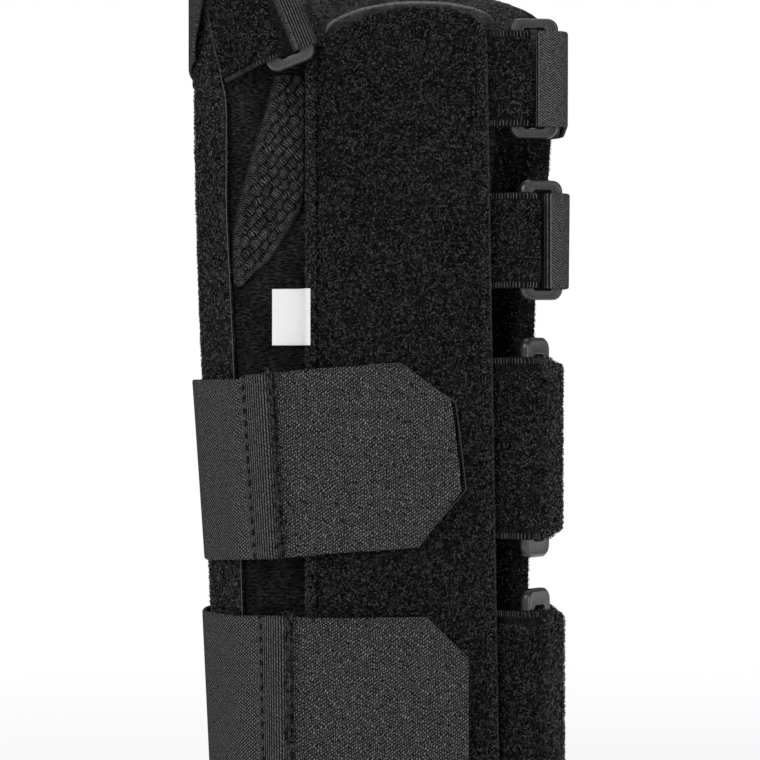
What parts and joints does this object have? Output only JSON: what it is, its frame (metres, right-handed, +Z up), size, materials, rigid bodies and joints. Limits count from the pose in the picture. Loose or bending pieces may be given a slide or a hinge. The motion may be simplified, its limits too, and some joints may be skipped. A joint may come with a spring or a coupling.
{
  "type": "wrist thumb brace",
  "caption": "Cloth wrist and thumb brace: a C-shaped padded sleeve with a raised front panel and a thumb sleeve, closed by straps that fold through plastic rings and end in hook-and-loop tips.",
  "frame": {"origin": "on the floor under the centre of the bounding box", "axes": "+Z up along the arm, -Y out of the front panel, -X towards the thumb"},
  "size_m": [0.1032, 0.0844, 0.246],
  "materials": {
    "liner_knit": "fine matt knit",
    "black_fleece": "short matt fleece",
    "loop_pile": "short curly loop pile",
    "edge_binding": "overlocked cloth edge",
    "mesh_knit": "open mesh knit",
    "white_label": "plain woven label",
    "grey_webbing": "flat woven webbing",
    "hook_tape": "matt moulded hooks",
    "ring_plastic": "satin moulded plastic"
  },
  "bodies": {
    "root": {"liner": "liner_knit", "outer_wrap": "black_fleece", "front_panel": "loop_pile", "flap_binding": "edge_binding", "gusset": "mesh_knit", "side_label": "white_label", "thumb_tab": "loop_pile", "thumb_ring": "ring_plastic", "thumb_strap": "grey_webbing", "small_tab_1": "loop_pile", "small_ring_1": "ring_plastic", "small_strap_1": "grey_webbing", "small_tab_2": "loop_pile", "small_ring_2": "ring_plastic", "small_strap_2": "grey_webbing", "big_tab_1": "loop_pile", "big_ring_1": "ring_plastic", "big_loop_strap_1": "loop_pile", "big_tab_2": "loop_pile", "big_ring_2": "ring_plastic", "big_loop_strap_2": "loop_pile", "big_web_strap_1": "grey_webbing", "strap_tip_1": "grey_webbing", "hook_pad_1": "hook_tape", "big_web_strap_2": "grey_webbing", "strap_tip_2": "grey_webbing", "hook_pad_2": "hook_tape"}
  },
  "joints": []
}
